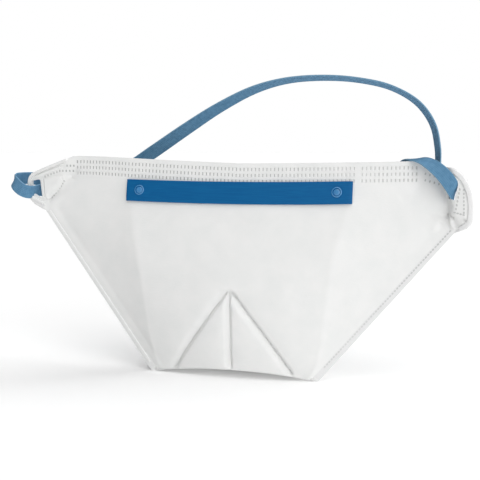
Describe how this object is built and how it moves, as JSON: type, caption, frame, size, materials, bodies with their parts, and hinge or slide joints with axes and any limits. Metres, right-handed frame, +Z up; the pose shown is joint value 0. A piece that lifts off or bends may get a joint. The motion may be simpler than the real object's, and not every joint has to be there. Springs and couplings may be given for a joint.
{
  "type": "fold-flat respirator with nose clip and head strap",
  "caption": "White fold-flat respirator standing open on its folded edge, with a blue nose clip and a blue elastic head strap.",
  "frame": {"origin": "centre of the bounding box's base, on the surface it stands on, in metres", "axes": "+Z up, +X towards the wearer's left ear tab, along the greatest length; -Y is the outside of the front panel, +Y the side that goes to the face"},
  "size_m": [0.2068, 0.0404, 0.1269],
  "materials": {
    "laminate": "matt, fine fibres",
    "clip": "satin",
    "elastic": "matt, ribbed weave"
  },
  "bodies": {
    "root": {"shell": "laminate", "nose_clip": "clip", "head_strap": "elastic"}
  },
  "joints": []
}
